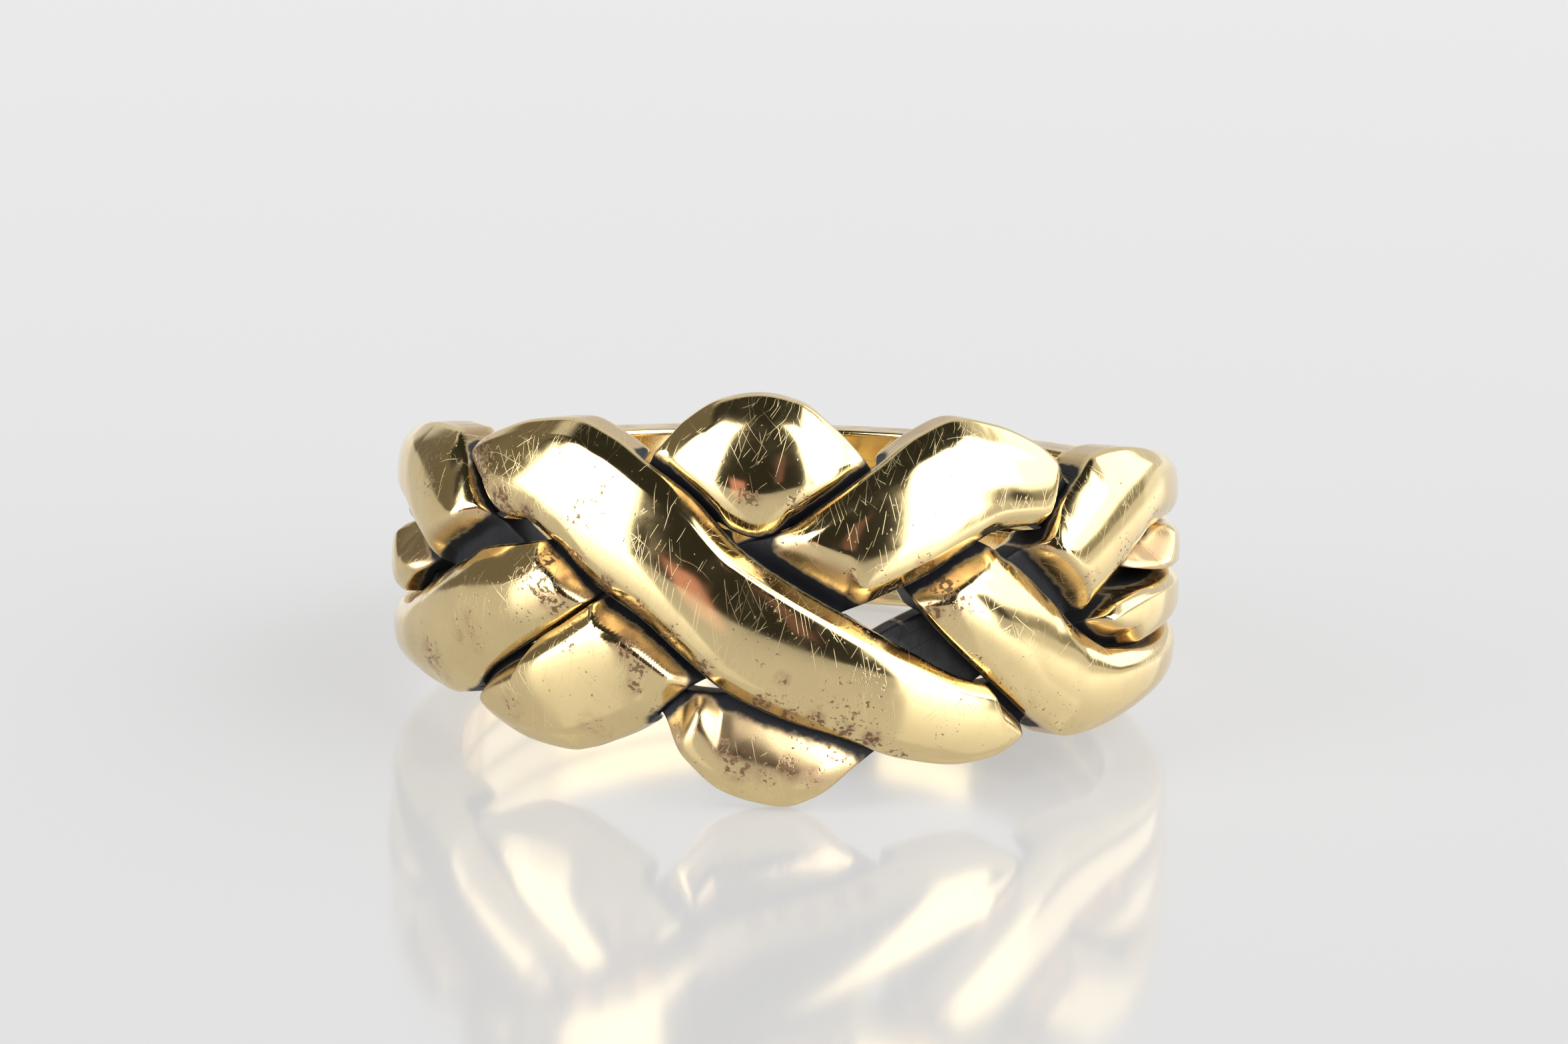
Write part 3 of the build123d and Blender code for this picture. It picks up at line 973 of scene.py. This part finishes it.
def worn_and_shaded_gold(name, scratches, specks, groups, look):
    """Pale gold with scratches, brown pits and film, redder slopes with painted shade, and recesses made
    blue-black by oxide and painted shade.
    """
    material = bpy.data.materials.new(name)
    material.use_nodes = True
    graph = Graph(material.node_tree)
    shader = material.node_tree.nodes["Principled BSDF"]
    place = graph.node("ShaderNodeTexCoord").outputs["Object"]
    surface = graph.node("ShaderNodeAttribute", {"attribute_name": "surface"}).outputs["Vector"]
    known = {
        key: graph.node("ShaderNodeAttribute", {"attribute_name": key}).outputs["Fac"]
        for key in ("oxide_and_shade", "flank", "grime", "stain")
    }

    lines = None
    for direction, spacing_along, spacing_across, weight in SCRATCH_LAYERS:
        layer = place_group(
            graph,
            groups["scratches"],
            Surface=surface,
            Turn=math.radians(direction),
            Cells=(1 / (spacing_along * MM), 1 / (spacing_across * MM), 0.0),
            Amount=scratches * weight,
        ).outputs["Lines"]
        lines = layer if lines is None else graph.math("MAXIMUM", lines, layer)
    pits = place_group(
        graph,
        groups["specks"],
        Position=place,
        Grime=known["grime"],
        Stain=known["stain"],
        Amount=specks,
    ).outputs["Specks"]

    # Oxide and painted shade in the recesses, broken up by a noise
    broken = graph.math("MULTIPLY", graph.noise(place, OXIDE_AND_SHADE_BREAK_SCALE, 3.0), OXIDE_AND_SHADE_BREAK)
    oxide_and_shade = graph.between(graph.math("ADD", known["oxide_and_shade"], broken), *OXIDE_AND_SHADE_LEVELS)
    tint = graph.between(graph.noise(place, TINT_SCALE), *TINT_LEVELS)
    mottling = graph.between(graph.noise(place, FILM_SCALE, 4.0), *FILM_LEVELS)
    flank = graph.varied(known["flank"], tint, *FLANK_SHADE_SHARES)
    film = graph.varied(known["stain"], mottling, *FILM_SHARES)
    base = graph.mix(graph.math("MULTIPLY", tint, TINT_SHARE), rgba(look.gold), rgba(look.red_tone_and_shade_gold))
    # Side walls and slopes take the redder, darker gold as painted shade
    base = graph.mix(flank, base, rgba(look.red_tone_and_shade_gold))
    base = graph.mix(film, base, rgba(look.film))
    base = graph.mix(graph.math("MULTIPLY", lines, SCRATCH_SHARE), base, rgba(look.fresh_gold))
    base = graph.mix(graph.math("MULTIPLY", pits, PIT_SHARE), base, rgba(look.tarnish))
    # The recesses go blue-black: oxide and painted shade
    base = graph.mix(oxide_and_shade, base, rgba(look.oxide_and_shade))
    graph.feed(shader.inputs["Base Color"], base)

    dull_pits = graph.math("MULTIPLY", pits, PIT_DULLNESS)
    dull = graph.math("MAXIMUM", dull_pits, graph.math("MULTIPLY", oxide_and_shade, OXIDE_AND_SHADE_DULLNESS))
    graph.feed(shader.inputs["Metallic"], graph.math("SUBTRACT", 1.0, dull))
    smudges = graph.between(graph.noise(place, SMUDGE_SCALE, 3.0), *SMUDGE_LEVELS)
    rough = look.polish
    for pattern, added in (
        (smudges, look.smudge_roughness),
        (lines, look.scratch_roughness),
        (dull, DULL_ROUGHNESS),
        (flank, FLANK_ROUGHNESS),
    ):
        rough = graph.math("ADD", rough, graph.math("MULTIPLY", pattern, added))
    graph.feed(shader.inputs["Roughness"], rough)

    lumps = graph.math("MULTIPLY", graph.noise(place, LUMP_SCALE, 1.0), look.lump_height)
    grain = graph.math("MULTIPLY", graph.noise(place, GRAIN_SCALE, 2.0), GRAIN_HEIGHT)
    relief = graph.math("ADD", lumps, grain)
    relief = graph.math("SUBTRACT", relief, graph.math("MULTIPLY", lines, look.scratch_depth))
    relief = graph.math("SUBTRACT", relief, graph.math("MULTIPLY", pits, look.pit_depth))
    bump = graph.node("ShaderNodeBump", Strength=1.0, Distance=1.0, Height=relief)
    graph.feed(shader.inputs["Normal"], bump.outputs["Normal"])
    return material


class WeaveBands(bpy.types.Operator):
    """Make the woven bands and their worn gold, with painted shade in the recesses and on the slopes"""

    bl_idname = "puzzle_ring.weave_bands"
    bl_label = "Weave bands"

    def execute(self, context):
        sizes, look = context.scene.band_sizes, context.scene.gold_look
        groups = {"scratches": scratch_group(), "specks": speck_group()}
        for band in BANDS:
            node = band["node"]
            scratches, specks = WEAR[node]
            mesh = closed_grid(node + "_worn", *band_surface(band, sizes))
            mesh.materials.append(worn_and_shaded_gold("worn_and_shaded_gold_" + node, scratches, specks, groups, look))
            piece = bpy.data.objects.new(node + "_worn", mesh)
            context.scene.collection.objects.link(piece)
            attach(piece, "root")
            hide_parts(node)
        return {"FINISHED"}


def soft_patch_group():
    """A soft-edged patch of light in the sky: 1 near its middle, falling to 0 over its soft edge.

    Inputs: Azimuth and Elevation of the ray; the patch's Middle, Half sizes, Softness and Slant.
    """
    graph, given, put = new_group(
        "soft_patch",
        [
            ("Azimuth", "NodeSocketFloat", 0.0),
            ("Elevation", "NodeSocketFloat", 0.0),
            ("Middle azimuth", "NodeSocketFloat", 0.0),
            ("Middle elevation", "NodeSocketFloat", 0.0),
            ("Half azimuth", "NodeSocketFloat", 0.5),
            ("Half elevation", "NodeSocketFloat", 0.5),
            ("Softness", "NodeSocketFloat", 0.1),
            ("Slant", "NodeSocketFloat", 0.0),
        ],
        [("Light", "NodeSocketFloat")],
    )
    out = given.outputs
    upwards = graph.math("SUBTRACT", out["Elevation"], out["Middle elevation"])
    middle = graph.math("ADD", out["Middle azimuth"], graph.math("MULTIPLY", upwards, out["Slant"]))
    sideways = graph.math("SUBTRACT", out["Azimuth"], middle)
    sideways = graph.math("ABSOLUTE", graph.math("WRAP", sideways, math.pi, -math.pi))
    upwards = graph.math("ABSOLUTE", upwards)
    light = None
    for distance, half in ((sideways, out["Half azimuth"]), (upwards, out["Half elevation"])):
        edge = graph.math("ADD", half, out["Softness"])
        part = graph.math("SUBTRACT", 1.0, graph.between(distance, half, edge))
        light = part if light is None else graph.math("MULTIPLY", light, part)
    graph.feed(put.inputs["Light"], light)
    return graph.tree


def make_sky(look):
    """Surroundings: soft boxes and dark room seen by the ring, and a plain pale background."""
    world = bpy.data.worlds.new("studio")
    world.use_nodes = True
    graph = Graph(world.node_tree)
    world.node_tree.nodes.clear()
    ray = graph.node("ShaderNodeTexCoord").outputs["Generated"]
    parts = graph.node("ShaderNodeSeparateXYZ", Vector=ray).outputs
    azimuth = graph.math("ARCTAN2", parts["X"], graph.math("MULTIPLY", parts["Y"], -1.0))
    elevation = graph.math("ARCSINE", parts["Z"])
    patch_tree = soft_patch_group()
    light = rgba(ROOM_COLOUR)
    for *angles, slant, strength, tint in SKY_PATCHES:
        middle_azimuth, middle_elevation, half_azimuth, half_elevation, softness = np.radians(angles)
        patch = place_group(
            graph,
            patch_tree,
            Azimuth=azimuth,
            Elevation=elevation,
            Middle_azimuth=middle_azimuth,
            Middle_elevation=middle_elevation,
            Half_azimuth=half_azimuth,
            Half_elevation=half_elevation,
            Softness=softness,
            Slant=slant,
        )
        bright = rgba([strength * part for part in tint])
        light = graph.mix(patch.outputs["Light"], light, bright)
    seen = graph.node("ShaderNodeBackground", Color=light, Strength=1.0)
    plain = graph.node("ShaderNodeBackground", Color=rgba(look.background), Strength=1.0)
    is_camera = graph.node("ShaderNodeLightPath").outputs["Is Camera Ray"]
    both = graph.node("ShaderNodeMixShader", Fac=is_camera)
    graph.feed(both.inputs[1], seen.outputs[0])
    graph.feed(both.inputs[2], plain.outputs[0])
    result = graph.node("ShaderNodeOutputWorld")
    graph.feed(result.inputs["Surface"], both.outputs[0])
    bpy.context.scene.world = world


def make_table(look):
    """A wide glossy pale table top with a very slight waviness."""
    material = bpy.data.materials.new("pale_table")
    material.use_nodes = True
    graph = Graph(material.node_tree)
    shader = material.node_tree.nodes["Principled BSDF"]
    place = graph.node("ShaderNodeTexCoord").outputs["Object"]
    shader.inputs["Base Color"].default_value = rgba(look.table)
    shader.inputs["Emission Color"].default_value = rgba(look.table_glow)
    shader.inputs["Emission Strength"].default_value = 1.0
    shader.inputs["Roughness"].default_value = look.table_roughness
    shader.inputs["IOR"].default_value = look.table_ior
    wave = graph.math("MULTIPLY", graph.noise(place, TABLE_WAVE_SCALE, 0.0), TABLE_WAVE_HEIGHT)
    bump = graph.node("ShaderNodeBump", Strength=1.0, Distance=1.0, Height=wave)
    graph.feed(shader.inputs["Normal"], bump.outputs["Normal"])

    half = TABLE_SIZE / 2
    corners = [(-half, -half, 0.0), (half, -half, 0.0), (half, half, 0.0), (-half, half, 0.0)]
    mesh = bpy.data.meshes.new("table")
    mesh.from_pydata(corners, [], [(0, 1, 2, 3)])
    mesh.materials.append(material)
    table = bpy.data.objects.new("table", mesh)
    bpy.context.scene.collection.objects.link(table)


def make_camera(look):
    """The photo's viewpoint, given in the ring's frame and turned with the ring."""
    azimuth, elevation, roll = look.camera_azimuth, look.camera_elevation, look.camera_roll
    back = Vector(
        (
            math.sin(azimuth) * math.cos(elevation),
            -math.cos(azimuth) * math.cos(elevation),
            math.sin(elevation),
        )
    )
    right = Vector((math.cos(azimuth), math.sin(azimuth), 0.0))
    up = back.cross(right)
    rolled_right = right * math.cos(roll) + up * math.sin(roll)
    rolled_up = up * math.cos(roll) - right * math.sin(roll)
    pose = Matrix((rolled_right, rolled_up, back)).transposed().to_4x4()
    pose.translation = back * look.camera_distance

    data = bpy.data.cameras.new("camera")
    data.sensor_width = SENSOR_WIDTH
    data.lens = FOCAL_PIXELS / PHOTO_WIDTH * SENSOR_WIDTH
    data.shift_x = (PHOTO_WIDTH / 2 - RING_MIDDLE_PIXEL[0]) / PHOTO_WIDTH
    data.shift_y = (RING_MIDDLE_PIXEL[1] - PHOTO_HEIGHT / 2) / PHOTO_WIDTH
    data.clip_start = look.camera_distance / 10
    data.clip_end = TABLE_SIZE
    camera = bpy.data.objects.new("camera", data)
    camera.matrix_world = ring_place() @ pose
    bpy.context.scene.collection.objects.link(camera)
    bpy.context.scene.camera = camera


class SetStage(bpy.types.Operator):
    """Make the pale table, the soft light and the camera"""

    bl_idname = "puzzle_ring.set_stage"
    bl_label = "Set stage"

    def execute(self, context):
        look = context.scene.stage_look
        make_table(look)
        make_sky(look)
        make_camera(look)
        context.scene.view_settings.view_transform = "Standard"
        return {"FINISHED"}


class RingPanel(bpy.types.Panel):
    """Sidebar panel of the puzzle ring"""

    bl_idname = "VIEW3D_PT_puzzle_ring"
    bl_label = "Puzzle ring"
    bl_space_type = "VIEW_3D"
    bl_region_type = "UI"
    bl_category = "Puzzle Ring"

    def draw(self, context):
        for operator in OPERATORS:
            self.layout.operator(operator.bl_idname)
        for name, group in SETTINGS.items():
            box = self.layout.box()
            for key in group.__annotations__:
                box.prop(getattr(context.scene, name), key)


OPERATORS = (WeaveBands, SetStage)
SETTINGS = {"band_sizes": BandSizes, "gold_look": GoldLook, "stage_look": StageLook}


def register():
    for group in (*SETTINGS.values(), *OPERATORS, RingPanel):
        bpy.utils.register_class(group)
    for name, group in SETTINGS.items():
        setattr(bpy.types.Scene, name, PointerProperty(type=group))


def unregister():
    for name in SETTINGS:
        delattr(bpy.types.Scene, name)
    for group in (RingPanel, *OPERATORS, *SETTINGS.values()):
        bpy.utils.unregister_class(group)


def main():
    register()
    bpy.ops.puzzle_ring.weave_bands()
    bpy.ops.puzzle_ring.set_stage()


if __name__ == "__main__":
    main()
